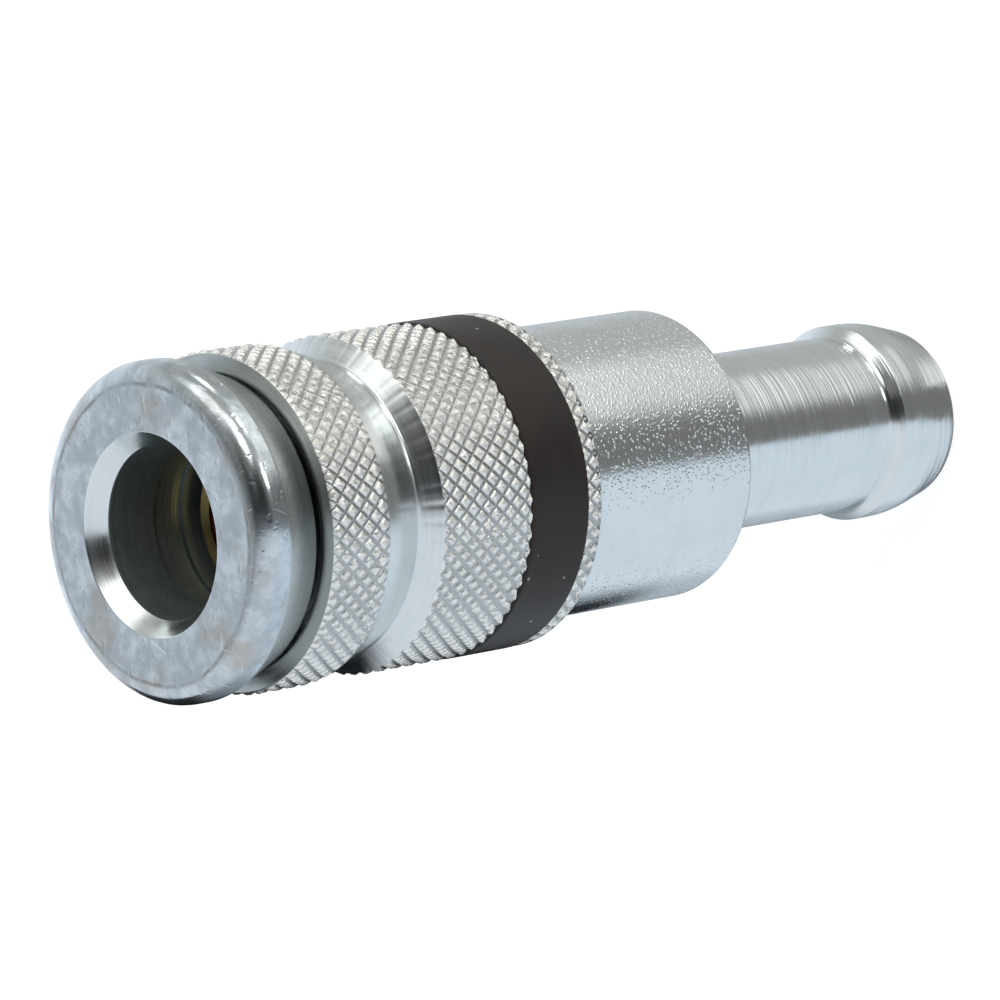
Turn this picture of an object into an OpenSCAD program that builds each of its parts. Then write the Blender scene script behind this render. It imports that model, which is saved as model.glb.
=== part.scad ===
// Air hose coupling: a ball-lock quick coupling socket with a hose tail.
// The coupling stands on the end of its hose tail, with its nose up and its axis on Z.
// Lengths are given as stations along the axis, counted from the nose face towards the tail.

/* [Nose collar] */
// How far the collar stays inside the sleeve's outer radius
collar_inset = 0.1; // [0:0.05:0.6]
// Edge radius of the nose face
collar_round = 1.5; // [0.5:0.1:2]
// Length of the collar up to its widest edge
collar_rim_len = 2.5; // [2.2:0.1:4]
// Length of the taper behind the widest edge
collar_taper_len = 3.55; // [2:0.05:5]
// Drop in radius along the taper
collar_taper_drop = 1.45; // [1.2:0.05:1.6]

/* [Plug bore] */
// Bore that takes the plug: every other diameter but the hose tail's follows it
plug_bore_d = 12.06; // [10.8:0.02:13.3]
// Width of the entry chamfer at the nose face
entry_width = 1.07; // [0.6:0.01:1.5]
// Depth of the entry chamfer
entry_depth = 1.4; // [0.8:0.1:1.8]
// Length of the first guiding stretch of the bore
bore_land_len = 4; // [3:0.1:4.5]
// Length of the relief groove behind it
bore_relief_len = 2.5; // [1:0.1:3]
// Depth of the relief groove
bore_relief_depth = 0.2; // [0.1:0.05:0.3]

/* [Locking balls] */
// Number of locking balls
ball_count = 8; // [8:1:8]
// Diameter of a locking ball
ball_d = 3.5; // [3.2:0.1:3.8]
// How far a locked ball stands into the bore
ball_bite = 0.63; // [0.5:0.01:0.7]
// How far a locked ball stands out of the body
ball_proud = 0.1; // [0.06:0.01:0.14]
// How far a ball moves out when the sleeve is pulled
ball_travel = 0.65; // [0.6:0.01:0.75]
// Distance from the stop ring to the centres of the balls
ball_setback = 3.65; // [3.4:0.05:4.2]
// Gap between a ball and its hole
ball_play = 0.05; // [0.03:0.01:0.08]
// Gap between a ball and the cone that pushes it in
cone_play = 0.08; // [0.05:0.01:0.1]

/* [Socket body] */
// Step in radius from the ball cage down to the threaded end
thread_step = 0.5; // [0.4:0.05:0.7]
// Length of the threaded end
thread_len = 5.4; // [4:0.1:8]
// Step in radius from the plug bore up to the valve chamber
chamber_step = 1.17; // [1.07:0.01:1.27]
// Gap between screwed diameters
thread_play = 0.05; // [0.02:0.01:0.1]

/* [Plug seal] */
// Section of the seal ring that grips the plug
plug_seal_section = 1.6; // [1.4:0.1:1.8]
// How far the seal ring stands into the bore
plug_seal_bite = 0.11; // [0.08:0.01:0.2]
// Width of the seal groove beyond the ring's section
seal_groove_play = 0.4; // [0.2:0.1:0.6]
// Distance from the ball centres to the seal ring
plug_seal_setback = 4.2; // [3.6:0.1:4.6]
// Distance from the ball centres to the plug's inner stop
plug_stop_setback = 6.5; // [6:0.1:8]

/* [Sleeve] */
// Wall of the sleeve around its spring, up to the top of the knurl
sleeve_wall = 1.4; // [1.2:0.05:2]
// Room for the spring between the body and the sleeve
spring_room = 1.8; // [1.6:0.05:2]
// Gap between the collar's taper and the sleeve
sleeve_gap = 0.3; // [0.2:0.05:1.2]
// How far the sleeve's mouth is narrower than the end of the collar's taper
mouth_inset = 0.04; // [0:0.01:0.1]
// Width of the bevel at the sleeve's front
sleeve_bevel_width = 0.25; // [0.2:0.05:0.8]
// Length of the bevel behind the front ring
sleeve_bevel_len = 0.3; // [0.2:0.1:1]
// Length of the front knurl
front_knurl_len = 4.55; // [3:0.05:6]
// Length of the long slope behind the front knurl
grip_slope_len = 4.1; // [3.5:0.1:5]
// Depth of the finger groove
finger_groove_depth = 1.6; // [1.2:0.05:1.8]
// Length of the steep slope that fingers pull on
pull_slope_len = 1.15; // [0.8:0.05:2.5]
// Length of the rear knurl
rear_knurl_len = 8.05; // [5:0.05:10]
// Length of the rim behind the grip band
rear_rim_len = 1.3; // [1:0.05:2]
// Pull of the sleeve
sleeve_travel = 4.5; // [4:0.1:4.6]
// Gap between the sleeve and what it slides on
sleeve_play = 0.08; // [0.05:0.01:0.1]
// Gap between the sleeve and the barrel
barrel_play = 0.1; // [0.08:0.01:0.15]
// Distance from the ball centres to the back of the sleeve's inner shoulder
shoulder_setback = 4.5; // [4:0.1:5]

/* [Knurl] */
// Number of diamonds around the sleeve
knurl_count = 60; // [40:1:72]
// Number of diamond rows for each millimetre of length
knurl_rows_per_mm = 0.73; // [0.6:0.01:1]
// Depth of the knurl
knurl_depth = 0.2; // [0.1:0.05:0.4]

/* [Grip band] */
// Length of the band
band_len = 5.4; // [4:0.1:7]
// Thickness of the band
band_thick = 0.6; // [0.4:0.05:0.7]

/* [Stop ring] */
// Width of the stop ring
stop_ring_w = 1; // [0.8:0.1:1.2]
// How far the stop ring stands out of the body
stop_ring_height = 1.1; // [1:0.05:1.25]
// Depth of the ring's groove in the body
stop_groove_depth = 0.35; // [0.25:0.05:0.5]
// Gap of the open ring, in degrees
stop_ring_gap = 14; // [8:1:24]
// Distance from the sleeve's mouth to the stop ring
stop_ring_setback = 1.95; // [1.5:0.05:2.5]
// Gap between the stop ring and the sleeve, and in its groove
stop_play = 0.05; // [0.02:0.01:0.1]

/* [Sleeve spring] */
// Length that the spring keeps over its closed coils when the sleeve is pulled
sleeve_spring_spare = 0.7; // [0.5:0.1:3]
// Wire of the spring
sleeve_spring_wire = 1; // [0.8:0.05:1.1]
// Turns of the spring
sleeve_spring_turns = 4.5; // [3.5:0.5:4.5]
// Thickness of the washer between the sleeve and the spring
washer_thick = 0.8; // [0.5:0.1:1.2]
// Gap around the washer
washer_play = 0.15; // [0.1:0.01:0.2]

/* [Valve] */
// Gap between the valve's tube and the locked balls
valve_ball_gap = 0.1; // [0.08:0.01:0.3]
// Wall of the valve's tube
valve_wall = 0.9; // [0.7:0.05:1.2]
// Station of the tube's front rim
valve_front = 9; // [8.5:0.1:10]
// Gap between the tube and its guide bore
valve_play = 0.1; // [0.05:0.01:0.15]
// Length of the guide bore
valve_guide_len = 3; // [2.5:0.1:4]
// Length of the conical seat
valve_seat_len = 1.8; // [1.6:0.1:2]
// Gap between the metal cones when the valve is shut
valve_seat_play = 0.15; // [0.1:0.01:0.2]
// Gap between the valve's head and the wall of the chamber
valve_head_gap = 0.8; // [0.7:0.05:0.9]
// Thickness of the flange behind the valve seal
valve_head_thick = 1.5; // [1:0.1:2]
// Diameter of the windows in the tube
valve_window_d = 3.2; // [2.4:0.1:3.2]
// Number of windows
valve_window_count = 4; // [3:1:5]
// Diameter of the valve's stem
valve_stem_d = 4; // [3:0.1:4.5]
// Stroke of the valve
valve_travel = 9.5; // [7:0.1:9.5]

/* [Valve seal] */
// Section of the valve's seal ring
valve_seal_section = 1.6; // [1.4:0.1:1.7]
// Gap between the seal ring and the wall of the chamber
valve_seal_gap = 0.45; // [0.4:0.05:0.5]
// Gap around the seal ring
valve_seal_play = 0.02; // [0.01:0.01:0.05]

/* [Valve spring and guide] */
// Length that the valve spring keeps over its closed coils when the valve is open
valve_spring_spare = 0.65; // [0.4:0.05:2]
// Wire of the valve spring
valve_spring_wire = 0.9; // [0.7:0.05:0.9]
// Gap between the valve spring and the wall of its chamber
valve_spring_gap = 1.15; // [1.05:0.05:1.3]
// Turns of the valve spring
valve_spring_turns = 6.5; // [4.5:0.5:6.5]
// Thickness of the guide that carries the stem
guide_thick = 2.2; // [1.5:0.1:3]
// Wall of the guide's hub
guide_hub_wall = 1.32; // [1:0.02:1.6]
// Width of the ledge that carries the guide's rim
guide_ledge = 2.1; // [1.9:0.1:2.4]
// Width of a spoke of the guide
guide_spoke_w = 1.4; // [1:0.1:2]
// Number of spokes
guide_spoke_count = 3; // [3:1:4]
// Gap around the stem, and around the guide
guide_play = 0.08; // [0.05:0.01:0.1]

/* [Hose adapter] */
// Length of the barrel
barrel_len = 19.5; // [19:0.1:24]
// Edge radius at the rear of the barrel
barrel_round = 0.5; // [0.3:0.1:1.5]
// Diameter of the hose tail between barrel and barb
tail_d = 13; // [11.6:0.1:14.4]
// Length of the hose tail up to the barb
tail_len = 18.3; // [14:0.1:24]
// Height of the barb over the tail
barb_height = 0.8; // [0.5:0.05:1.2]
// Length of the barb's steep front
barb_front_len = 0.8; // [0.4:0.1:1.4]
// Length of the round land on the barb's crest
barb_land_len = 1.3; // [0.3:0.05:2]
// Length of the barb's long back, which curves down from the crest into a cone
barb_taper_len = 4.41; // [4:0.01:5]
// Length of the curved first part of that back
barb_arc_len = 2.5; // [1:0.1:3.5]
// Angle between the cone and the axis, in degrees
barb_back_angle = 15; // [10:1:18]
// Edge radius at the end of the tail
tail_round = 1.2; // [0.5:0.1:1.4]
// Wall of the hose tail
tail_wall = 2; // [1.7:0.1:2.6]
// Thickness of the gasket between body and adapter
gasket_thick = 0.8; // [0.5:0.1:1]
// Width of the shoulder that carries the gasket
gasket_width = 0.9; // [0.7:0.05:1]

/* [Hidden] */
$fn = 96;
// Reach of a cutter past the face that it opens
over = 1;

// Diameters, from the plug bore outwards: bore, balls, ball cage, spring, barrel, sleeve, collar
ball_r = ball_d / 2;
ball_reach = plug_bore_d / 2 - ball_bite + ball_r;
entry_d = plug_bore_d + 2 * entry_width;
cage_d = 2 * (ball_reach + ball_r - ball_proud);
sleeve_bore_d = cage_d + 2 * spring_room;
barrel_d = sleeve_bore_d - 2 * barrel_play;
sleeve_d = sleeve_bore_d + 2 * sleeve_wall;
sleeve_face_d = sleeve_d - 2 * sleeve_bevel_width;
finger_groove_d = sleeve_d - 2 * finger_groove_depth;
collar_d = sleeve_d - 2 * collar_inset;
collar_taper_d = collar_d - 2 * collar_taper_drop;
mouth_d = collar_taper_d - 2 * mouth_inset;
stop_ring_d = cage_d + 2 * stop_ring_height;
sleeve_spring_d = (cage_d + sleeve_bore_d) / 2;

// Diameters of the valve and its chambers, also from the plug bore
valve_tube_d = plug_bore_d - 2 * (ball_bite + valve_ball_gap);
chamber_d = plug_bore_d + 2 * chamber_step;
valve_head_d = chamber_d - 2 * valve_head_gap;
valve_seal_d = chamber_d - 2 * valve_seal_gap - valve_seal_section;
thread_d = cage_d - 2 * thread_step;
spring_bore_d = thread_d - 2 * gasket_width;
valve_spring_d = spring_bore_d - 2 * valve_spring_gap - valve_spring_wire;
guide_rim_d = spring_bore_d - 2 * guide_ledge;
guide_hub_d = valve_stem_d + 2 * (guide_play + guide_hub_wall);

// Diameters of the hose tail
tail_bore_d = tail_d - 2 * tail_wall;
barb_d = tail_d + 2 * barb_height;

// Barb's back: an arc that leaves the crest without a kink, a cone, and the round edge of the tail's end
barb_arc_r = barb_arc_len / sin(barb_back_angle);
barb_end_r = barb_d / 2 - barb_arc_len * tan(barb_back_angle / 2)
    - (barb_taper_len - barb_arc_len) * tan(barb_back_angle);
tail_round_r = barb_end_r - tail_round * cos(barb_back_angle);
barb_arc_steps = 6;

// Lengths of the springs at rest: travel, closed coils and spare length
sleeve_spring_len = sleeve_travel + sleeve_spring_turns * sleeve_spring_wire + sleeve_spring_spare;
valve_spring_len = valve_travel + valve_spring_turns * valve_spring_wire + valve_spring_spare;

// Stations from the nose face
taper_end = collar_rim_len + collar_taper_len;
sleeve_front = taper_end + sleeve_gap;
ring_front = sleeve_front + stop_ring_setback;
ring_back = ring_front + stop_ring_w;
sleeve_step = ring_back + stop_play;
ball_station = ring_back + stop_play + ball_setback;
seal_station = ball_station + plug_seal_setback;
plug_stop = ball_station + plug_stop_setback;
seat_front = plug_stop + valve_guide_len;
seat_back = seat_front + valve_seat_len;
shoulder_back = ball_station + shoulder_setback;
washer_back = shoulder_back + washer_thick;
barrel_front = washer_back + sleeve_spring_len;
thread_end = barrel_front + thread_len;
gasket_back = thread_end + gasket_thick;
barrel_back = barrel_front + barrel_len;
barb_root = barrel_back + tail_len;
barb_peak = barb_root + barb_front_len;
barb_land_end = barb_peak + barb_land_len;
barb_end = barb_land_end + barb_taper_len;
tail_round_station = barb_end - tail_round * sin(barb_back_angle);
total_len = tail_round_station + tail_round;

// Sleeve stations
front_knurl_start = sleeve_front + sleeve_bevel_len;
front_knurl_end = front_knurl_start + front_knurl_len;
groove_bottom = front_knurl_end + grip_slope_len;
rear_knurl_start = groove_bottom + pull_slope_len;
band_start = rear_knurl_start + rear_knurl_len;
band_end = band_start + band_len;
sleeve_back = band_end + rear_rim_len;

// Ball lock: the cone's slope is the ball's travel over the sleeve's travel
lock_slope = ball_travel / sleeve_travel;
cone_r_at_ball = ball_reach + (ball_r + cone_play) * sqrt(1 + lock_slope * lock_slope);
land_r = cage_d / 2 + sleeve_play;
cone_back = ball_station + (cone_r_at_ball - land_r) / lock_slope;
cone_r_at_step = cone_r_at_ball + (ball_station - sleeve_step) * lock_slope;
ball_hole_r = ball_r + ball_play;
// Lip that keeps a ball out of the bore
ball_lip_rise = 0.6;
ball_lip_inset = 0.38;

// Seals
plug_seal_r = plug_bore_d / 2 - plug_seal_bite + plug_seal_section / 2;
plug_groove_r = plug_seal_r + plug_seal_section / 2 + stop_play;
plug_groove_w = plug_seal_section + seal_groove_play;
guide_bore_r = valve_tube_d / 2 + valve_play;
seat_slope = (chamber_d / 2 - guide_bore_r) / valve_seat_len;
seat_slant = sqrt(1 + seat_slope * seat_slope);
// The seal ring touches the seat's cone where the valve is shut
valve_seal_station = seat_front
    + (valve_seal_d / 2 - guide_bore_r + (valve_seal_section / 2 + valve_seal_play) * seat_slant) / seat_slope;
seal_land_front = valve_seal_station - valve_seal_section / 2 - valve_seal_play;
seal_land_back = valve_seal_station + valve_seal_section / 2 + valve_seal_play;
seal_land_r = valve_seal_d / 2 - valve_seal_section / 2 - valve_seal_play;
seat_offset = valve_seat_play * seat_slant;
valve_cone_front = seat_front + (valve_tube_d / 2 - guide_bore_r + seat_offset) / seat_slope;
valve_cone_r = guide_bore_r + (seal_land_front - seat_front) * seat_slope - seat_offset;
head_back = seal_land_back + valve_head_thick;
guide_front = head_back + valve_spring_len;
guide_back = guide_front + guide_thick;
window_station = valve_cone_front - valve_window_d / 2 - 0.4;

// Knurl rings reach this far into the metal under them
knurl_root = 0.25;
// Plain metal beside a knurl stands this far above the bottom of its grooves
knurl_shoulder = 0.06;

function at(station) = total_len - station;

// Turned shape: a list of [radius, station] points around one half of its section
module turned(profile) {
    rotate_extrude() polygon([for (p = profile) [p[0], at(p[1])]]);
}

// Ring with a square section
module ring(outer_r, inner_r, front, back) {
    turned([[inner_r, front], [outer_r, front], [outer_r, back], [inner_r, back]]);
}

// Ring that rounds the outer edge of a turned shape: side is 1 where the metal lies towards the tail
module edge_cutter(edge_r, station, round_r, side) {
    low = min(at(station), at(station + side * round_r));
    rotate_extrude() difference() {
        translate([edge_r - round_r, low - (side > 0 ? 0 : over)]) square([round_r + over, round_r + over]);
        translate([edge_r - round_r, at(station + side * round_r)]) circle(round_r);
        translate([edge_r - round_r - over, low - over]) square([over, round_r + 3 * over]);
    }
}

// Cutter for one radial ball hole, with the lip that keeps the ball out of the bore
module ball_hole() {
    lip_outer = plug_bore_d / 2 + ball_lip_rise;
    lip_slope = ball_lip_inset / ball_lip_rise;
    lip_cut = ball_lip_rise + over;
    rotate([0, 90, 0]) {
        translate([0, 0, lip_outer]) cylinder(h = cage_d / 2 - lip_outer + over, r = ball_hole_r);
        translate([0, 0, lip_outer - lip_cut])
            cylinder(h = lip_cut, r1 = ball_hole_r - lip_cut * lip_slope, r2 = ball_hole_r);
    }
}

// Cylinder skin with a crossed diamond knurl, as a closed ring between two stations.
// The diamonds meet in grooves that run both ways around the sleeve.
module knurl_ring(outer_r, front, back) {
    rows = max(2, round(2 * (back - front) * knurl_rows_per_mm));
    columns = 2 * knurl_count;
    step = (back - front) / rows;
    low_r = outer_r - knurl_depth;
    inner_r = low_r - knurl_root;
    // Peaks and groove crossings alternate like the squares of a chessboard
    function skin_r(i, j) = (j == 0 || j == rows || (i + j) % 2 == 1) ? low_r : outer_r;
    function skin(i, j) = let (a = 360 * i / columns)
        [skin_r(i, j) * cos(a), skin_r(i, j) * sin(a), at(front + j * step)];
    function core(i, station) = let (a = 720 * i / columns)
        [inner_r * cos(a), inner_r * sin(a), at(station)];
    function v(i, j) = j * columns + i % columns;
    skin_points = [for (j = [0:rows]) for (i = [0:columns - 1]) skin(i, j)];
    core_points = concat([for (i = [0:knurl_count - 1]) core(i, front)],
        [for (i = [0:knurl_count - 1]) core(i, back)]);
    base = len(skin_points);
    function c(i, k) = base + k * knurl_count + i % knurl_count;
    // Each square is split along the groove, never across a peak
    skin_faces = [for (j = [0:rows - 1]) for (i = [0:columns - 1])
        for (f = (i + j) % 2 == 1
            ? [[v(i, j), v(i + 1, j), v(i, j + 1)], [v(i + 1, j), v(i + 1, j + 1), v(i, j + 1)]]
            : [[v(i, j), v(i + 1, j), v(i + 1, j + 1)], [v(i, j), v(i + 1, j + 1), v(i, j + 1)]]) f];
    front_faces = [for (i = [0:knurl_count - 1])
        for (f = [[v(2 * i, 0), c(i, 0), v(2 * i + 1, 0)], [v(2 * i + 1, 0), c(i, 0), c(i + 1, 0)],
            [v(2 * i + 1, 0), c(i + 1, 0), v(2 * i + 2, 0)]]) f];
    back_faces = [for (i = [0:knurl_count - 1])
        for (f = [[v(2 * i, rows), v(2 * i + 1, rows), c(i, 1)], [v(2 * i + 1, rows), c(i + 1, 1), c(i, 1)],
            [v(2 * i + 1, rows), v(2 * i + 2, rows), c(i + 1, 1)]]) f];
    core_faces = [for (i = [0:knurl_count - 1])
        for (f = [[c(i, 0), c(i, 1), c(i + 1, 0)], [c(i + 1, 0), c(i, 1), c(i + 1, 1)]]) f];
    polyhedron(points = concat(skin_points, core_points),
        faces = concat(skin_faces, front_faces, back_faces, core_faces));
}

// Compression spring between two stations, with its end turns closed and flat on their seats
module coil_spring(middle_d, wire, turns, front, back) {
    sides = 8;
    turn_steps = 20;
    end_turns = 0.75;
    steps = round(turns * turn_steps);
    length = back - front - wire;
    // Share of the free rise that is reached after t turns
    function rise(t) = min(1, max(0, (t - end_turns) / (turns - 2 * end_turns)));
    // Closed end turns still rise by a little less than one wire for each turn
    end_rise = wire * end_turns * 1.02;
    function height(t) = end_rise * min(1, t / end_turns)
        + (length - 2 * end_rise) * rise(t)
        + end_rise * max(0, (t - turns + end_turns) / end_turns);
    points = [for (k = [0:steps]) let (t = turns * k / steps, a = 360 * t)
        for (s = [0:sides - 1]) let (b = 360 * s / sides, r = middle_d / 2 + wire / 2 * cos(b))
            [r * cos(a), r * sin(a), at(back) + wire / 2 + height(t) + wire / 2 * sin(b)]];
    side_faces = [for (k = [0:steps - 1]) for (s = [0:sides - 1])
        let (p = k * sides + s, q = k * sides + (s + 1) % sides)
        for (f = [[p, p + sides, q], [q, p + sides, q + sides]]) f];
    polyhedron(points = points, faces = concat(side_faces,
        [[for (s = [0:sides - 1]) s]], [[for (s = [sides - 1:-1:0]) steps * sides + s]]));
}

// Nose collar, ball cage, valve seat and threaded end, turned from one bar
module socket_body() color("gainsboro") difference() {
    turned([[0, 0], [collar_d / 2, 0], [collar_d / 2, collar_rim_len],
        [collar_taper_d / 2, taper_end], [cage_d / 2, taper_end], [cage_d / 2, barrel_front],
        [thread_d / 2, barrel_front], [thread_d / 2, thread_end], [0, thread_end]]);
    edge_cutter(collar_d / 2, 0, collar_round, 1);
    // Plug bore with its entry chamfer and its relief groove
    turned([[0, -over], [entry_d / 2 + (entry_d - plug_bore_d) / 2 * over / entry_depth, -over],
        [plug_bore_d / 2, entry_depth], [plug_bore_d / 2, plug_stop], [0, plug_stop]]);
    ring(plug_bore_d / 2 + bore_relief_depth, plug_bore_d / 2 - over,
        entry_depth + bore_land_len, entry_depth + bore_land_len + bore_relief_len);
    // Groove of the plug seal
    ring(plug_groove_r, plug_bore_d / 2 - over,
        seal_station - plug_groove_w / 2, seal_station + plug_groove_w / 2);
    // Guide bore, conical seat and chamber of the valve
    turned([[0, plug_stop - over], [guide_bore_r, plug_stop - over], [guide_bore_r, seat_front],
        [chamber_d / 2, seat_back], [chamber_d / 2, thread_end + over], [0, thread_end + over]]);
    // Groove of the stop ring
    ring(cage_d / 2 + over, cage_d / 2 - stop_groove_depth, ring_front - stop_play, ring_back + stop_play);
    for (k = [0:ball_count - 1])
        rotate([0, 0, 360 * k / ball_count]) translate([0, 0, at(ball_station)]) ball_hole();
}

// Barrel and hose tail, turned from one bar
module hose_adapter() color("silver") difference() {
    barb_back = [for (k = [0:barb_arc_steps]) let (a = barb_back_angle * k / barb_arc_steps)
        [barb_d / 2 - barb_arc_r * (1 - cos(a)), barb_land_end + barb_arc_r * sin(a)]];
    tail_edge = [for (k = [0:barb_arc_steps])
        let (a = barb_back_angle + (90 - barb_back_angle) * k / barb_arc_steps)
        [tail_round_r + tail_round * cos(a), tail_round_station + tail_round * sin(a)]];
    turned(concat([[0, barrel_front], [barrel_d / 2, barrel_front], [barrel_d / 2, barrel_back],
        [tail_d / 2, barrel_back], [tail_d / 2, barb_root], [barb_d / 2, barb_peak]],
        barb_back, tail_edge, [[0, total_len]]));
    edge_cutter(barrel_d / 2, barrel_back, barrel_round, -1);
    // Threaded mouth, spring chamber and flow bore
    turned([[0, barrel_front - over], [thread_d / 2 + thread_play, barrel_front - over],
        [thread_d / 2 + thread_play, gasket_back], [spring_bore_d / 2, gasket_back],
        [spring_bore_d / 2, guide_back], [guide_rim_d / 2, guide_back],
        [tail_bore_d / 2, barrel_back], [tail_bore_d / 2, total_len + over], [0, total_len + over]]);
}

// Flat gasket between the body's end and the adapter's inner shoulder
module body_gasket() color("darkslategray")
    ring(thread_d / 2, spring_bore_d / 2 + thread_play, thread_end, gasket_back);

// Seal ring that grips the plug
module plug_seal() color("black")
    translate([0, 0, at(seal_station)]) rotate_extrude()
        translate([plug_seal_r, 0]) circle(plug_seal_section / 2);

// Open ring that stops the sleeve at its front position
module stop_ring() color("slategray") difference() {
    ring(stop_ring_d / 2, cage_d / 2 - stop_groove_depth + stop_play, ring_front, ring_back);
    for (side = [-1, 1])
        rotate([0, 0, side * stop_ring_gap / 4])
            translate([0, -stop_ring_d / 2 * sin(stop_ring_gap / 4), at(ring_back) - over])
                cube([stop_ring_d, stop_ring_d * sin(stop_ring_gap / 4), stop_ring_w + 2 * over]);
}

// Sleeve that is pulled towards the tail to free the plug
module release_sleeve() color("gainsboro") union() {
    skin_r = sleeve_d / 2;
    under_r = skin_r - knurl_depth - knurl_root / 2;
    beside_r = skin_r - knurl_depth + knurl_shoulder;
    turned([[mouth_d / 2, sleeve_front], [sleeve_face_d / 2, sleeve_front],
        [beside_r, front_knurl_start], [under_r, front_knurl_start],
        [under_r, front_knurl_end], [beside_r, front_knurl_end],
        [finger_groove_d / 2, groove_bottom],
        [beside_r, rear_knurl_start], [under_r, rear_knurl_start],
        [under_r, band_start], [skin_r - band_thick, band_start],
        [skin_r - band_thick, band_end], [under_r, band_end], [under_r, sleeve_back],
        [sleeve_bore_d / 2, sleeve_back], [sleeve_bore_d / 2, shoulder_back],
        [land_r, shoulder_back], [land_r, cone_back], [cone_r_at_step, sleeve_step],
        [mouth_d / 2, sleeve_step]]);
    knurl_ring(skin_r, front_knurl_start, front_knurl_end);
    knurl_ring(skin_r, rear_knurl_start, band_start);
    knurl_ring(skin_r, band_end, sleeve_back);
}

// Rubber band in the sleeve's groove
module grip_band() color("dimgray")
    ring(sleeve_d / 2, sleeve_d / 2 - band_thick, band_start, band_end);

// Washer on which the sleeve turns against its spring
module spring_washer() color("slategray")
    ring(sleeve_bore_d / 2 - washer_play, cage_d / 2 + washer_play, shoulder_back, washer_back);

module sleeve_spring() color("lightslategray")
    coil_spring(sleeve_spring_d, sleeve_spring_wire, sleeve_spring_turns, washer_back, barrel_front);

// Valve that the plug pushes open: tube with windows, sealing head and guided stem
module valve_poppet() color("goldenrod") difference() {
    turned([[0, valve_front], [valve_tube_d / 2, valve_front], [valve_tube_d / 2, valve_cone_front],
        [valve_cone_r, seal_land_front], [seal_land_r, seal_land_front], [seal_land_r, seal_land_back],
        [valve_head_d / 2, seal_land_back], [valve_head_d / 2, head_back],
        [valve_stem_d / 2, head_back], [valve_stem_d / 2, guide_back], [0, guide_back]]);
    turned([[0, valve_front - over], [valve_tube_d / 2 - valve_wall, valve_front - over],
        [valve_tube_d / 2 - valve_wall, valve_cone_front], [0, valve_cone_front]]);
    for (k = [0:valve_window_count - 1])
        rotate([0, 0, 360 * (k + 0.5) / valve_window_count]) translate([0, 0, at(window_station)])
            rotate([0, 90, 0]) cylinder(h = valve_tube_d, r = valve_window_d / 2);
}

// Seal ring that meets the conical seat
module valve_seal() color("black")
    translate([0, 0, at(valve_seal_station)]) rotate_extrude()
        translate([valve_seal_d / 2, 0]) circle(valve_seal_section / 2);

module valve_spring() color("lightslategray")
    coil_spring(valve_spring_d, valve_spring_wire, valve_spring_turns, head_back, guide_front);

// Spoked guide that carries the stem and the valve spring
module valve_guide() color("darkgoldenrod") union() {
    ring(spring_bore_d / 2 - guide_play, guide_rim_d / 2, guide_front, guide_back);
    ring(guide_hub_d / 2, valve_stem_d / 2 + guide_play, guide_front, guide_back);
    hub_r = valve_stem_d / 2 + guide_play;
    inset = (guide_hub_d / 2 - hub_r) / 2;
    for (k = [0:guide_spoke_count - 1])
        rotate([0, 0, 360 * k / guide_spoke_count])
            translate([guide_hub_d / 2 - inset, -guide_spoke_w / 2, at(guide_back)])
                cube([(guide_rim_d - guide_hub_d) / 2 + 2 * inset, guide_spoke_w, guide_thick]);
}

// One steel ball in its hole, counted around the axis from +X
module locking_ball(k) color("whitesmoke")
    rotate([0, 0, 360 * (k - 1) / ball_count]) translate([ball_reach, 0, at(ball_station)]) sphere(ball_r);

socket_body();
hose_adapter();
body_gasket();
plug_seal();
stop_ring();
release_sleeve();
grip_band();
spring_washer();
sleeve_spring();
valve_poppet();
valve_seal();
valve_spring();
valve_guide();
locking_ball(1);  // ball_1
locking_ball(2);  // ball_2
locking_ball(3);  // ball_3
locking_ball(4);  // ball_4
locking_ball(5);  // ball_5
locking_ball(6);  // ball_6
locking_ball(7);  // ball_7
locking_ball(8);  // ball_8
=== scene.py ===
"""Looks of the air hose coupling: turned and knurled zinc-plated steel, a rubber band and a brass valve.

Lengths are millimetres unless a name says otherwise, and are turned into metres where a mesh is made.
A station is a distance along the axis from the nose face towards the tail, as in the part's own source.
"""

import math

import bpy
import numpy as np
from mathutils import Matrix, Vector


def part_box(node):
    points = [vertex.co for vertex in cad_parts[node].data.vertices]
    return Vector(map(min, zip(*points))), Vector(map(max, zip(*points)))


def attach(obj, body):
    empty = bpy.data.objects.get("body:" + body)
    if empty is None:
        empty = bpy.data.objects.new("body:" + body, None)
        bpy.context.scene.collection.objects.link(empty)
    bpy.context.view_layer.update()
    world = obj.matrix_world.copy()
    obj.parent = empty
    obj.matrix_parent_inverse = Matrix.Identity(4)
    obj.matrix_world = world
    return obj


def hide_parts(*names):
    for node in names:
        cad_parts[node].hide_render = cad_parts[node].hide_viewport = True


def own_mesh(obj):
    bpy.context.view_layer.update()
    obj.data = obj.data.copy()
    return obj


MM = 0.001
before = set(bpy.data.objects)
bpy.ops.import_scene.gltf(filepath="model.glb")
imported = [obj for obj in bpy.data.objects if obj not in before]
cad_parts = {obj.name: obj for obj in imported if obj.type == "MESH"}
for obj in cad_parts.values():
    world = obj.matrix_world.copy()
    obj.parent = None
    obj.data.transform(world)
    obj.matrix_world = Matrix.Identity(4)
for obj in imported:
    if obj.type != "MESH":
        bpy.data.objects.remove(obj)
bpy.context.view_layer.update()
NOSE_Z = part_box("socket_body")[1].z


def at(station):
    """Height of a station over the floor, in metres."""
    return NOSE_Z - station * MM


def outer_radius(node):
    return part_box(node)[1].x / MM


def front_station(node):
    return (NOSE_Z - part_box(node)[1].z) / MM


def back_station(node):
    return (NOSE_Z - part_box(node)[0].z) / MM


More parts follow.
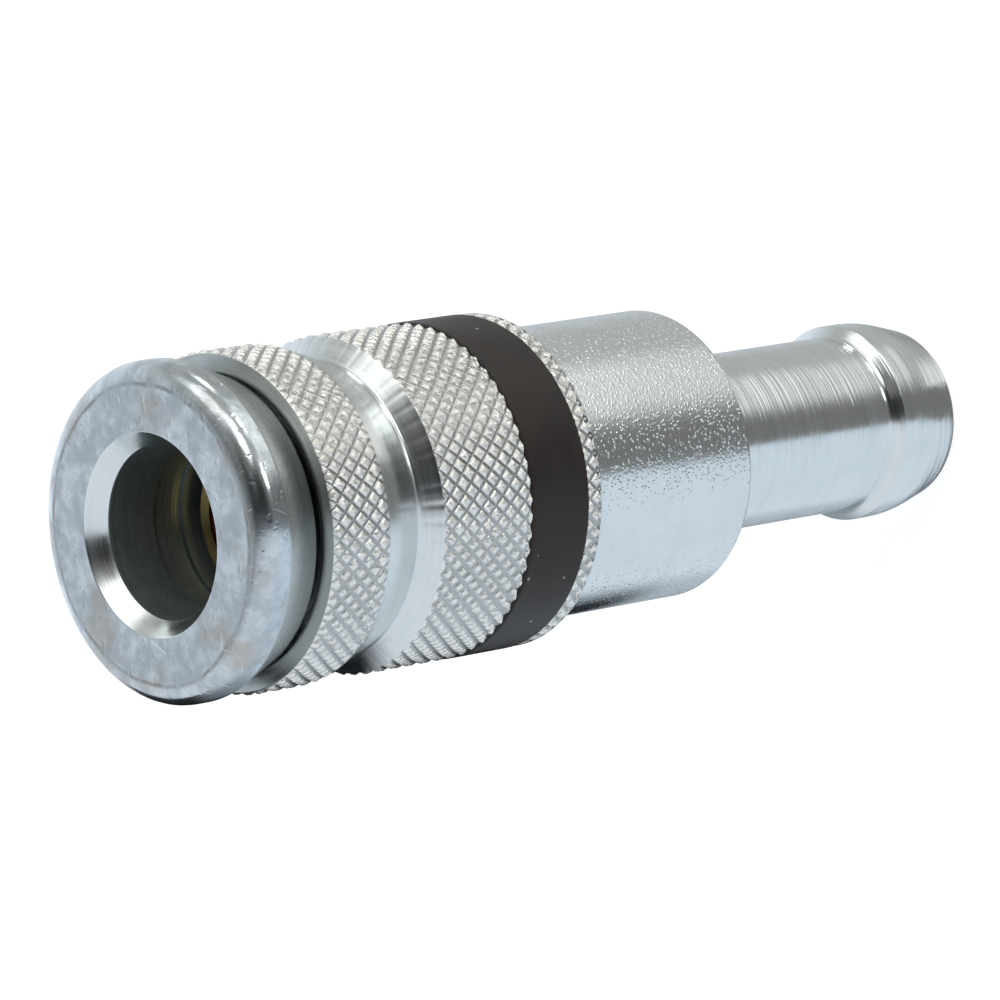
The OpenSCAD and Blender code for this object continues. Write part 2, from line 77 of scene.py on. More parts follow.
# Camera of the photograph: it looks down on the standing coupling and lies nearly on its side
CAMERA_TILT = math.radians(41.815)
CAMERA_ROLL = math.radians(99.459)
CAMERA_LENS = 240.1
CAMERA_SENSOR = 36.0
CAMERA_AIM = Vector((-1.542, 0.0, 41.10)) * MM
CAMERA_DISTANCE = 475.3 * MM
CAMERA_CLIP_M = (0.01, 10)

# Sizes that the frame gives
COLLAR_R = outer_radius("socket_body")
SLEEVE_R = outer_radius("grip_band")
SLEEVE_FRONT = front_station("release_sleeve")
SLEEVE_BACK = back_station("release_sleeve")
BAND_FRONT = front_station("grip_band")
BAND_BACK = back_station("grip_band")
BARREL_R = outer_radius("hose_adapter")
BARREL_FRONT = front_station("hose_adapter")
TAIL_END = back_station("hose_adapter")
THREAD_END = back_station("socket_body")
BALL_STATION = (front_station("ball_1") + back_station("ball_1")) / 2
GUIDE_BACK = back_station("valve_guide")

# Sizes of the turned profiles, as in the part's source: the socket body
COLLAR_RIM = 2.5
COLLAR_ROUND = 1.5
TAPER_END = 6.05
TAPER_R = 10.45
CAGE_R = 8.8
BORE_R = 6.03
STAIN_RING_R = 10.4
ENTRY_R = 7.1
ENTRY_DEPTH = 1.4
PLUG_STOP = 19.5
THREAD_R = 8.3
# Front station, back station and radius of each groove
RELIEF = (5.4, 7.9, 6.23)
SEAL_GROOVE = (16.2, 18.2, 7.57)
RING_GROOVE = (8.25, 9.35, 8.45)
# Front and back station of the valve's seat, and the radii in front of it and behind it
SEAT = (22.5, 24.3, 5.4, 7.2)
# Holes of the locking balls, and where each starts to narrow towards the bore and how fast
BALL_COUNT = 8
BALL_HOLE_R = 1.8
BALL_LIP = (6.63, 0.633)

# The release sleeve and its band
MOUTH_R = 10.41
SLEEVE_FACE_R = 11.75
BEVEL_SLOPE = 0.83
GROOVE_STATION = 15.3
GROOVE_R = 10.4
GRIP_SLOPE = 0.356
PULL_SLOPE = 1.27
BAND_SEAT_R = SLEEVE_R - 0.6
SLEEVE_BORE_R = 10.6
SHOULDER_BACK = 17.5
LAND_R = 8.88
CONE_BACK = 13.82
CONE_FRONT_R = 9.526
SLEEVE_STEP = 9.35

# The hose adapter
BARREL_BACK = 47.5
TAIL_R = 6.5
BARB_ROOT = 65.8
BARB_PEAK = 66.6
BARB_LAND_END = 67.9
BARB_END = 72.31
BARB_R = 7.3
BARB_ARC_LEN = 2.5
BARB_BACK_ANGLE = math.radians(15)
TAIL_ROUND = 1.2
BARB_STEPS = 12
SPRING_BORE_R = 7.4
THREAD_BORE_R = 8.35
GASKET_BACK = THREAD_END + 0.8
GUIDE_LEDGE_R = 5.3
TAIL_BORE_R = 4.5

# The springs: how far each shortens, its wire and its turns
SLEEVE_SPRING = (4.5, 1.0, 4.5)
VALVE_SPRING = (9.5, 0.9, 6.5)
# Closed turns at each end, their rise in wires each turn, and the fineness of the coil
SPRING_END_TURNS = 0.75
SPRING_END_RISE = 1.02
SPRING_TURN_STEPS = 48
SPRING_SIDES = 16

# Knurl: straight grooves with flat bottoms that cross, as many in each family around the sleeve.
# The flat half and the wall of a groove are shares of the distance between two grooves.
# The torn tops lie lower by up to their grain, and the walls vary by theirs.
KNURL_COUNT = 60
KNURL_PER_MM = 0.73
KNURL_DEPTH = 0.2
KNURL_STEPS = 8
KNURL_FLAT = 0.11
KNURL_WALL = 0.17
TOP_GRAIN = 0.07
WALL_GRAIN = 0.012
KNURL_SEED = 11
# Shares of the knurl's depth above which its skin is top or wall, and below which a face is groove
TOP_FROM = 0.8
WALL_FROM = 0.1
GROOVE_UP_TO = 0.12

# Plain ring behind the rear knurl with the slope down to it, and the gap that shows beside the band
RIM_RING_LEN = 0.15
RIM_RING_R = SLEEVE_R - 0.04
RIM_SLOPE_LEN = 0.02
BAND_GAP = 0.05

# Fineness of the turned pieces and holes, and the angle from which an edge is sharp
LATHE_STEPS = 240
HOLE_STEPS = 40
SHARP_EDGE = math.radians(35)
# Rounded corners: the step of an arc, the most of a side that it takes, the distance of its support points
# and how many times that and the arc's reach a side is long that gets one
ARC_STEP = math.radians(13)
ARC_SHARE = 0.62
ARC_SUPPORT = 0.04
SUPPORT_ROOM = 3
# Least axial part of the normal of a face that faces the nose
FACING_NOSE = 0.3

# Flag beside the coupling: its gap to the sleeve, where along Y it starts, is full up to and ends,
# and the length over which it fades towards the tail
FLAG_GAP = 0.4
FLAG_SPAN = (-4.0, 0.5, 9.0, 15.0)
FLAG_FADE = 6.0

# Floor and key lamp, in metres
FLOOR_HALF_M = 2.0
KEY_PLACE = Vector((0.45, -0.35, 0.65))
KEY_AIM = Vector((0, 0, 0.04))
KEY_SIZE_M = 0.35
KEY_WATTS = 3

WHITE = (1.0, 1.0, 1.0)


def rounded(corners):
    """Closed profile of points from (radius, station, rounding) corners.

    Each rounding is an arc, with a support point before and after it where there is room.
    """
    points = []
    count = len(corners)
    for i, (r, s, rounding) in enumerate(corners):
        here = Vector((r, s))
        before = Vector(corners[i - 1][:2]) - here
        after = Vector(corners[(i + 1) % count][:2]) - here
        if rounding <= 0:
            points.append(here)
            continue
        half = before.angle(after) / 2
        reach = min(rounding / math.tan(half), ARC_SHARE * before.length, ARC_SHARE * after.length)
        radius = reach * math.tan(half)
        start = here + before.normalized() * reach
        end = here + after.normalized() * reach
        centre = here + (before.normalized() + after.normalized()).normalized() * radius / math.sin(half)
        turn = math.pi - 2 * half
        steps = max(2, math.ceil(turn / ARC_STEP))
        spoke, last = start - centre, end - centre
        sign = 1 if spoke.x * last.y - spoke.y * last.x > 0 else -1
        if before.length > SUPPORT_ROOM * (reach + ARC_SUPPORT):
            points.append(start + before.normalized() * ARC_SUPPORT)
        for k in range(steps + 1):
            angle = sign * turn * k / steps
            points.append(centre + Matrix.Rotation(angle, 2) @ spoke)
        if after.length > SUPPORT_ROOM * (reach + ARC_SUPPORT):
            points.append(end + after.normalized() * ARC_SUPPORT)
    return [(p.x, p.y) for p in points]


def mesh_object(name, vertices, faces):
    """Object from vertices in metres and faces."""
    mesh = bpy.data.meshes.new(name)
    mesh.from_pydata(vertices, [], faces)
    mesh.validate()
    made = bpy.data.objects.new(name, mesh)
    bpy.context.scene.collection.objects.link(made)
    return made


def smooth(piece):
    """Smooth shading, except across the sharp edges."""
    mesh = piece.data
    mesh.polygons.foreach_set("use_smooth", [True] * len(mesh.polygons))
    mesh.set_sharp_from_angle(angle=SHARP_EDGE)


def turns_left(profile):
    """Whether the closed profile of (radius, station) points encloses a positive area."""
    return sum(a[0] * b[1] - b[0] * a[1] for a, b in zip(profile, profile[1:] + profile[:1])) > 0


def turned(name, corners):
    """Closed turned ring from a profile of rounded corners."""
    profile = rounded(corners)
    rows = len(profile)
    steps = LATHE_STEPS
    angles = [2 * math.pi * i / steps for i in range(steps)]
    vertices = [(r * MM * math.cos(a), r * MM * math.sin(a), at(s)) for r, s in profile for a in angles]
    faces = []
    for j in range(rows):
        below = j * steps
        above = (j + 1) % rows * steps
        for i in range(steps):
            right = (i + 1) % steps
            faces.append((below + i, above + i, above + right, below + right))
    if not turns_left(profile):
        faces = [face[::-1] for face in faces]
    made = mesh_object(name, vertices, faces)
    smooth(made)
    return made


def paint(piece, chooser, *materials):
    """Gives each face the material that chooser(radius, station, normal) picks from the list by number."""
    for material in materials:
        piece.data.materials.append(material)
    for polygon in piece.data.polygons:
        x, y, z = polygon.center
        polygon.material_index = chooser(math.hypot(x, y) / MM, (NOSE_Z - z) / MM, polygon.normal)


def dress(node, material):
    """Gives a CAD node its material."""
    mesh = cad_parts[node].data
    mesh.materials.clear()
    mesh.materials.append(material)


# Materials


class Nodes:
    """Short way to build a node tree."""

    def __init__(self, tree):
        self.tree = tree
        self.tree.nodes.clear()

    def add(self, kind, inputs=None, **settings):
        made = self.tree.nodes.new(kind)
        for key, value in settings.items():
            setattr(made, key, value)
        for key, value in (inputs or {}).items():
            if isinstance(value, bpy.types.NodeSocket):
                self.tree.links.new(value, made.inputs[key])
            else:
                made.inputs[key].default_value = value
        return made

    def math(self, operation, a, b=0.0, c=0.0):
        return self.add("ShaderNodeMath", {0: a, 1: b, 2: c}, operation=operation).outputs[0]

    def span(self, value, low, high, to_low=0.0, to_high=1.0, kind="SMOOTHSTEP"):
        inputs = {"Value": value, "From Min": low, "From Max": high, "To Min": to_low, "To Max": to_high}
        return self.add("ShaderNodeMapRange", inputs, interpolation_type=kind).outputs["Result"]

    def mix(self, share, a, b):
        """Colour a where share is 0 and b where it is 1, through the sockets of the colour mix."""
        made = self.add("ShaderNodeMix", data_type="RGBA")
        for socket, value in ((made.inputs[0], share), (made.inputs[6], a), (made.inputs[7], b)):
            if isinstance(value, bpy.types.NodeSocket):
                self.tree.links.new(value, socket)
            else:
                socket.default_value = value if isinstance(value, float) else (*value[:3], 1.0)
        return made.outputs[2]

    def product(self, a, b):
        return self.math("MULTIPLY", a, b)

    def axis_distance(self, x, y):
        return self.math("SQRT", self.math("ADD", self.product(x, x), self.product(y, y)))

    def noise(self, vector, scale, detail=2.0, roughness=0.5):
        inputs = {"Vector": vector, "Scale": scale, "Detail": detail, "Roughness": roughness}
        return self.add("ShaderNodeTexNoise", inputs).outputs["Fac"]


def ring_vector(nodes, around, across):
    """Texture space whose grain runs around the axis: around and across are its scales each metre."""
    place = nodes.add("ShaderNodeTexCoord").outputs["Object"]
    axes = nodes.add("ShaderNodeSeparateXYZ", {0: place})
    x, y, z = axes.outputs
    inputs = {
        "X": nodes.math("MULTIPLY_ADD", nodes.axis_distance(x, y), across, nodes.product(x, around)),
        "Y": nodes.product(y, around),
        "Z": nodes.product(z, across),
    }
    return nodes.add("ShaderNodeCombineXYZ", inputs).outputs[0]


def object_vector(nodes):
    return nodes.add("ShaderNodeTexCoord").outputs["Object"]


def new_material(name):
    material = bpy.data.materials.new(name)
    material.use_nodes = True
    return material, Nodes(material.node_tree)


def finish_material(nodes, shader_inputs, anisotropy=0.0):
    """Puts the shader in place. Anisotropy stretches highlights across the turning marks."""
    if anisotropy:
        tangent = nodes.add("ShaderNodeTangent", direction_type="RADIAL", axis="Z")
        shader_inputs["Tangent"] = tangent.outputs[0]
        shader_inputs["Anisotropic"] = anisotropy
    shader = nodes.add("ShaderNodeBsdfPrincipled", shader_inputs)
    nodes.add("ShaderNodeOutputMaterial", {"Surface": shader.outputs[0]})


def bumps(nodes, layers):
    """Chain of bump nodes from (height, distance in metres) layers."""
    normal = None
    for height, distance in layers:
        inputs = {"Height": height, "Distance": distance, "Strength": 1.0}
        if normal is not None:
            inputs["Normal"] = normal
        normal = nodes.add("ShaderNodeBump", inputs).outputs[0]
    return normal


def scratches(nodes, place, scale, width, sparse):
    """Share of short fine scratches: thin broken lines between large cells."""
    warp = nodes.noise(place, scale * 1.7, 1.0)
    bent = nodes.add("ShaderNodeVectorMath", {0: place, 3: 0.35}, operation="SCALE").outputs[0]
    moved = nodes.add("ShaderNodeVectorMath", {0: place, 1: bent}, operation="ADD").outputs[0]
    inputs = {"Vector": moved, "Scale": scale}
    cells = nodes.add("ShaderNodeTexVoronoi", inputs, feature="DISTANCE_TO_EDGE")
    line = nodes.span(cells.outputs["Distance"], width, width * 0.4)
    return nodes.product(line, nodes.span(warp, sparse, sparse + 0.05))


def turned_metal(name, tone, dark_tone, roughness, marks, pits, anisotropy=0.4, metallic=1.0):
    """Turned metal: fine rings around the axis, broken streaks, soft clouds in the tone and small dents.

    marks and pits are the depths of the rings and dents against those of a lightly turned piece.
    """
    material, nodes = new_material(name)
    coarse = nodes.noise(ring_vector(nodes, 45, 1500), 1.0, 3.0, 0.6)
    middle = nodes.noise(ring_vector(nodes, 30, 4200), 1.0, 2.0, 0.6)
    fine = nodes.noise(ring_vector(nodes, 90, 9000), 1.0, 2.0, 0.5)
    clouds = nodes.noise(object_vector(nodes), 420, 3.0, 0.6)
    grains = nodes.add("ShaderNodeTexVoronoi", {"Vector": object_vector(nodes), "Scale": 900.0})
    dents = nodes.span(grains.outputs["Distance"], 0.0, 0.16)
    tint = nodes.mix(nodes.span(clouds, 0.35, 0.7, 0.0, 0.35), tone, dark_tone)
    tint = nodes.mix(nodes.span(middle, 0.4, 0.7, 0.0, 0.3), tint, dark_tone)
    rough = nodes.span(coarse, 0.3, 0.75, roughness * 0.75, roughness * 1.35)
    rings = [(fine, 0.6e-6 * marks), (middle, 1.4e-6 * marks), (coarse, 2.2e-6 * marks)]
    normal = bumps(nodes, [*rings, (dents, 3e-6 * pits)])
    inputs = {"Base Color": tint, "Metallic": metallic, "Roughness": rough, "Normal": normal}
    finish_material(nodes, inputs, anisotropy)
    return material


def face_metal(name, tone, pale_tone, stain_tone, roughness):
    """Plated nose: mottled grey, brownish stains, a thin stained ring at the rounding, nicks and scratches.

    Outside the ring it is smoother.
    """
    material, nodes = new_material(name)
    place = object_vector(nodes)
    mottle = nodes.noise(place, 620, 4.0, 0.62)
    stains = nodes.noise(place, 230, 3.0, 0.6)
    speckle = nodes.noise(place, 5200, 2.0, 0.6)
    x, y, _ = nodes.add("ShaderNodeSeparateXYZ", {0: place}).outputs
    radius = nodes.axis_distance(x, y)
    # The stains' noise moves the ring in and out by up to half of this
    wander = 0.6 * MM
    ring_at = nodes.math("MULTIPLY_ADD", stains, wander, radius)
    off_ring = nodes.math("ABSOLUTE", nodes.math("SUBTRACT", ring_at, STAIN_RING_R * MM + wander / 2))
    broken = nodes.span(mottle, 0.38, 0.6, 0.1, 0.75)
    # Distances from the ring's middle up to which it is full and where it ends
    ring_core, ring_edge = 0.05 * MM, 0.22 * MM
    ring = nodes.product(nodes.span(off_ring, ring_edge, ring_core), broken)
    fine = scratches(nodes, place, 210, 0.006, 0.54)
    nicks = nodes.noise(place, 1500, 1.0, 0.4)
    tint = nodes.mix(nodes.span(mottle, 0.36, 0.66), tone, pale_tone)
    tint = nodes.mix(nodes.span(stains, 0.5, 0.68, 0.0, 0.7), tint, stain_tone)
    tint = nodes.mix(nodes.span(speckle, 0.55, 0.7, 0.0, 0.35), tint, stain_tone)
    tint = nodes.mix(ring, tint, [part * 0.55 for part in stain_tone])
    tint = nodes.mix(nodes.product(fine, 0.6), tint, (0.85, 0.87, 0.88))
    rough = nodes.span(mottle, 0.3, 0.7, roughness * 1.2, roughness * 0.75)
    # Outside the ring, the share of the roughness that is left and the length over which it falls
    outside, left, fall = (STAIN_RING_R + 0.1) * MM, 0.6, 0.6 * MM
    rough = nodes.product(rough, nodes.span(radius, outside, outside + fall, 1.0, left))
    nicked = nodes.span(nicks, 0.27, 0.38)
    normal = bumps(nodes, [(speckle, 4e-6), (nicked, 12e-6), (fine, -6e-6), (mottle, 12e-6)])
    finish_material(nodes, {"Base Color": tint, "Metallic": 1.0, "Roughness": rough, "Normal": normal})
    return material


def peel_metal(name, tone, dark_tone, dirt_tone, roughness):
    """Drawn bar skin under zinc: orange peel of small round dots that sparkle, with a few fine dirt lines."""
    material, nodes = new_material(name)
    place = object_vector(nodes)
    cells = nodes.add("ShaderNodeTexVoronoi", {"Vector": place, "Scale": 3700.0})
    dots = nodes.span(cells.outputs["Distance"], 0.02, 0.46, 1.0, 0.0)
    chosen = nodes.noise(place, 2300, 1.0)
    peel = nodes.product(dots, nodes.span(chosen, 0.35, 0.65, 0.45, 1.0))
    grain = nodes.noise(place, 4300, 2.0, 0.6)
    clouds = nodes.noise(place, 260, 3.0, 0.6)
    dirt = nodes.noise(ring_vector(nodes, 900, 3800), 1.0, 3.0, 0.7)
    patches = nodes.noise(place, 210, 2.0)
    smear = nodes.product(nodes.span(dirt, 0.62, 0.74), nodes.span(patches, 0.52, 0.62))
    tint = nodes.mix(nodes.span(clouds, 0.35, 0.7, 0.0, 0.3), tone, dark_tone)
    tint = nodes.mix(nodes.product(smear, 0.55), tint, dirt_tone)
    rough = nodes.span(clouds, 0.3, 0.7, roughness * 0.85, roughness * 1.2)
    normal = bumps(nodes, [(peel, 30e-6), (grain, 9e-6)])
    finish_material(nodes, {"Base Color": tint, "Metallic": 1.0, "Roughness": rough, "Normal": normal})
    return material


def knurl_metal(name, tone, dark_tone, roughness, torn_depth, metallic):
    """Plated knurl: bright skin over slightly torn diamonds, whose finest marks scatter part of the light."""
    material, nodes = new_material(name)
    place = object_vector(nodes)
    torn = nodes.noise(place, 6200, 3.0, 0.65)
    clouds = nodes.noise(place, 300, 2.0, 0.5)
    tint = nodes.mix(nodes.span(torn, 0.4, 0.7), tone, dark_tone)
    rough = nodes.span(clouds, 0.3, 0.7, roughness * 0.8, roughness * 1.25)
    normal = bumps(nodes, [(torn, torn_depth)])
    finish_material(nodes, {"Base Color": tint, "Metallic": metallic, "Roughness": rough, "Normal": normal})
    return material


def rubber(name, tone, dust_tone, dust_share, roughness, shine):
    """Dull moulded rubber with a fine grain and a few specks of dust."""
    material, nodes = new_material(name)
    place = object_vector(nodes)
    grain = nodes.noise(place, 5200, 3.0, 0.6)
    clouds = nodes.noise(place, 240, 2.0, 0.5)
    specks = nodes.add("ShaderNodeTexVoronoi", {"Vector": place, "Scale": 620.0})
    near = nodes.span(specks.outputs["Distance"], 0.05, 0.09, 1.0, 0.0)
    chosen = nodes.span(nodes.noise(place, 300, 0.0), 0.5, 0.56)
    dusty = nodes.product(nodes.product(near, chosen), dust_share)
    tint = nodes.mix(nodes.span(clouds, 0.3, 0.7), tone, [c * 1.35 for c in tone])
    tint = nodes.mix(dusty, tint, dust_tone)
    rough = nodes.span(clouds, 0.3, 0.7, roughness * 0.9, roughness * 1.15)
    normal = bumps(nodes, [(grain, 7e-6)])
    inputs = {"Base Color": tint, "Roughness": rough, "Normal": normal, "Specular IOR Level": shine}
    finish_material(nodes, inputs)
    return material


# Tones of the metals, each with that of its clouds and marks
ZINC, ZINC_DARK = (0.78, 0.80, 0.80), (0.66, 0.69, 0.70)
FACE, FACE_PALE = (0.50, 0.54, 0.57), (0.68, 0.72, 0.75)
# Painted shade: the dull tone is darker than the plain zinc. It goes on the taper behind the collar and on
# the sleeve's front face, across the gap between them
DULL_SHADED, DULL_SHADED_DARK = (0.57, 0.59, 0.58), (0.45, 0.47, 0.47)
BORE, BORE_DARK = (0.31, 0.36, 0.35), (0.15, 0.19, 0.185)
# Painted shade: the ledges deep in the bore that face the opening get this much darker tone
STEP, STEP_DARK = (0.16, 0.19, 0.19), (0.10, 0.12, 0.12)
# The knurl's groove bottoms are much darker than its tops and the plain zinc
KNURL, KNURL_DARK = (0.94, 0.92, 0.88), (0.72, 0.70, 0.66)
GROOVE, GROOVE_DARK = (0.52, 0.52, 0.51), (0.42, 0.42, 0.41)
STEEL, STEEL_DARK = (0.45, 0.46, 0.47), (0.33, 0.34, 0.35)
BALL, BALL_DARK = (0.82, 0.83, 0.84), (0.74, 0.75, 0.76)
BRASS, BRASS_DARK = (0.80, 0.56, 0.24), (0.55, 0.36, 0.13)
# Tones of dirt, and of the rubbers with their dust
FACE_STAIN, SKIN_DIRT = (0.47, 0.43, 0.39), (0.50, 0.47, 0.43)
BAND, BAND_DUST = (0.016, 0.012, 0.0105), (0.45, 0.44, 0.42)
SEAL, SEAL_DUST = (0.012, 0.012, 0.013), (0.2, 0.2, 0.2)

face_zinc = face_metal("zinc_face", FACE, FACE_PALE, FACE_STAIN, roughness=0.35)
turned_zinc = turned_metal("zinc_turned", ZINC, ZINC_DARK, roughness=0.2, marks=2.2, pits=0.6)
# Rougher zinc whose darker tone is painted shade of the gap between collar and sleeve
dull_shaded_zinc = turned_metal("zinc_dull_shaded", DULL_SHADED, DULL_SHADED_DARK, roughness=0.26, marks=1.6, pits=0.6)
tail_zinc = turned_metal("zinc_tail", ZINC, ZINC_DARK, roughness=0.16, marks=18.0, pits=1.0)
bore_zinc = turned_metal("zinc_bore", BORE, BORE_DARK, roughness=0.36, marks=16.0, pits=0.3, metallic=0.8)
step_shade_zinc = turned_metal("zinc_step_shade", STEP, STEP_DARK, roughness=0.5, marks=3.0, pits=0.3)
skin_zinc = peel_metal("zinc_skin", ZINC, ZINC_DARK, SKIN_DIRT, roughness=0.17)
knurl_zinc = knurl_metal("zinc_knurl", KNURL, KNURL_DARK, roughness=0.3, torn_depth=46e-6, metallic=0.92)
groove_zinc = knurl_metal("zinc_groove", GROOVE, GROOVE_DARK, roughness=0.28, torn_depth=10e-6, metallic=1.0)
spring_steel = turned_metal("spring_steel", STEEL, STEEL_DARK, roughness=0.3, marks=0.6, pits=0.4)
ball_steel = turned_metal("ball_steel", BALL, BALL_DARK, roughness=0.08, marks=0.1, pits=0.1, anisotropy=0.0)
brass = turned_metal("brass", BRASS, BRASS_DARK, roughness=0.24, marks=3.0, pits=0.3)
band_rubber = rubber("band_rubber", BAND, BAND_DUST, dust_share=0.7, roughness=0.44, shine=0.3)
seal_rubber = rubber("seal_rubber", SEAL, SEAL_DUST, dust_share=0.3, roughness=0.55, shine=0.15)


# Socket body: nose collar, bore and ball cage


def ball_hole_cutter():
    """One closed cutter for all the radial ball holes, with the lip that narrows each towards the bore."""
    sides = HOLE_STEPS
    lip_r, lip_slope = BALL_LIP
    # The cutter starts inside the bore and ends outside the cage
    inner, outer = BORE_R - 0.7, CAGE_R + 1
    rings = [(inner, BALL_HOLE_R - (lip_r - inner) * lip_slope), (lip_r, BALL_HOLE_R), (outer, BALL_HOLE_R)]
    vertices, faces = [], []
    for k in range(BALL_COUNT):
        turn = Matrix.Rotation(2 * math.pi * k / BALL_COUNT, 3, "Z")
        base = len(vertices)
        for reach, radius in rings:
            for i in range(sides):
                angle = 2 * math.pi * i / sides
                point = Vector((reach * MM, radius * MM * math.cos(angle), radius * MM * math.sin(angle)))
                vertices.append(turn @ point + Vector((0, 0, at(BALL_STATION))))
        for ring in range(len(rings) - 1):
            low, high = base + ring * sides, base + (ring + 1) * sides
            for i in range(sides):
                right = (i + 1) % sides
                faces.append((low + i, low + right, high + right, high + i))
        faces.append(tuple(base + i for i in reversed(range(sides))))
        last = base + (len(rings) - 1) * sides
        faces.append(tuple(last + i for i in range(sides)))
    return mesh_object("ball_hole_cutter", vertices, faces)


def cut(piece, cutter):
    """Cuts the closed cutter out of the piece and removes the cutter."""
    modifier = piece.modifiers.new("holes", "BOOLEAN")
    modifier.operation = "DIFFERENCE"
    modifier.solver = "EXACT"
    modifier.object = cutter
    shown = piece.evaluated_get(bpy.context.evaluated_depsgraph_get())
    mesh = bpy.data.meshes.new_from_object(shown)
    piece.modifiers.clear()
    piece.data = mesh
    bpy.data.objects.remove(cutter)
    smooth(piece)


def make_socket_body():
    """Body from the nose collar to the threaded end, which the adapter covers."""
    relief_front, relief_back, relief_r = RELIEF
    seal_front, seal_back, seal_r = SEAL_GROOVE
    ring_front, ring_back, ring_r = RING_GROOVE
    seat_front, seat_back, guide_r, chamber_r = SEAT
    corners = [
        (ENTRY_R, 0, 0.1), (COLLAR_R, 0, COLLAR_ROUND), (COLLAR_R, COLLAR_RIM, 0.4),
        (TAPER_R, TAPER_END, 0.3), (CAGE_R, TAPER_END, 0),
        (CAGE_R, ring_front, 0), (ring_r, ring_front, 0), (ring_r, ring_back, 0),
        (CAGE_R, ring_back, 0), (CAGE_R, BARREL_FRONT, 0.1), (THREAD_R, BARREL_FRONT, 0.1),
        (THREAD_R, THREAD_END, 0.15), (chamber_r, THREAD_END, 0.1), (chamber_r, seat_back, 0.1),
        (guide_r, seat_front, 0.08), (guide_r, PLUG_STOP, 0.1), (BORE_R, PLUG_STOP, 0.06),
        (BORE_R, seal_back, 0.06), (seal_r, seal_back, 0.1), (seal_r, seal_front, 0.1),
        (BORE_R, seal_front, 0.06), (BORE_R, relief_back, 0.06), (relief_r, relief_back, 0.05),
        (relief_r, relief_front, 0.05), (BORE_R, relief_front, 0.06), (BORE_R, ENTRY_DEPTH, 0.08),
    ]
    piece = turned("socket_body_turned", corners)
    cut(piece, ball_hole_cutter())

    face, entry, bore, taper, step = range(5)
    # Limits of the surfaces, each a little before the edge that it belongs to
    bore_r, bore_front, taper_front = ENTRY_R - 0.02, ENTRY_DEPTH - 0.1, COLLAR_RIM - 0.1

    def choose(r, s, normal):
        if r < bore_r and s > bore_front:
            # Ledges in the bore that face the nose get the much darker zinc, painted shade
            return step if normal.z > FACING_NOSE else bore
        # Behind the rim, the taper gets the rough zinc with painted shade of the gap to the sleeve
        if s > taper_front:
            return taper
        return entry if r < ENTRY_R else face

    paint(piece, choose, face_zinc, turned_zinc, bore_zinc, dull_shaded_zinc, step_shade_zinc)
    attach(piece, "body")
    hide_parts("socket_body")


# Hose adapter: barrel and hose tail with its barb


def barb_back():
    """The barb's back: an arc that leaves the crest without a kink, a cone and the tail's round edge."""
    turn = BARB_BACK_ANGLE
    radius = BARB_ARC_LEN / math.sin(turn)
    end_r = BARB_R - BARB_ARC_LEN * math.tan(turn / 2)
    end_r -= (BARB_END - BARB_LAND_END - BARB_ARC_LEN) * math.tan(turn)
    centre_r = end_r - TAIL_ROUND * math.cos(turn)
    points = []
    for k in range(BARB_STEPS + 1):
        angle = turn * k / BARB_STEPS
        points.append((BARB_R - radius * (1 - math.cos(angle)), BARB_LAND_END + radius * math.sin(angle), 0))
    for k in range(BARB_STEPS + 1):
        angle = turn + (math.pi / 2 - turn) * k / BARB_STEPS
        station = TAIL_END - TAIL_ROUND * (1 - math.sin(angle))
        points.append((centre_r + TAIL_ROUND * math.cos(angle), station, 0))
    return points


def make_hose_adapter():
    """Barrel in the bar's own skin, turned tail and barb."""
    corners = [
        (THREAD_BORE_R, BARREL_FRONT, 0.1), (BARREL_R, BARREL_FRONT, 0.3), (BARREL_R, BARREL_BACK, 0.5),
        (TAIL_R, BARREL_BACK, 0.25), (TAIL_R, BARB_ROOT, 0.6), (BARB_R, BARB_PEAK, 0.15),
        *barb_back(), (TAIL_BORE_R, TAIL_END, 0.15), (TAIL_BORE_R, BARREL_BACK, 0.2),
        (GUIDE_LEDGE_R, GUIDE_BACK, 0.1), (SPRING_BORE_R, GUIDE_BACK, 0.1),
        (SPRING_BORE_R, GASKET_BACK, 0.05), (THREAD_BORE_R, GASKET_BACK, 0.05),
    ]
    piece = turned("hose_adapter_turned", corners)

    barrel, tail, bore = range(3)
    # Faces nearer to the axis than these lie inside, those of the barrel as far back as the guide's ledge
    tail_inside_r, barrel_inside_r, ledge_back = TAIL_R - 0.9, BARREL_R - 1.8, GUIDE_BACK + 0.2
    # The turned surface starts in the barrel's rounded edge
    skin_end = BARREL_BACK - 0.4

    def choose(r, s, normal):
        in_tail = r < tail_inside_r
        in_barrel = s < ledge_back and r < barrel_inside_r
        if in_tail or in_barrel:
            return bore
        return barrel if s < skin_end else tail

    paint(piece, choose, skin_zinc, tail_zinc, bore_zinc)
    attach(piece, "body")
    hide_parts("hose_adapter")


# Release sleeve with its knurl


def groove_share(phase):
    """Height of a grooved skin: 0 on the flat bottom around a whole phase, 1 on top between two grooves."""
    away = 0.5 - np.abs(phase % 1.0 - 0.5)
    return np.clip((away - KNURL_FLAT) / KNURL_WALL, 0, 1)


def knurl_height(u, v):
    """Share of the knurl's depth that stands at u grooves around and v grooves along."""
    return np.minimum(groove_share(u + v), groove_share(u - v))


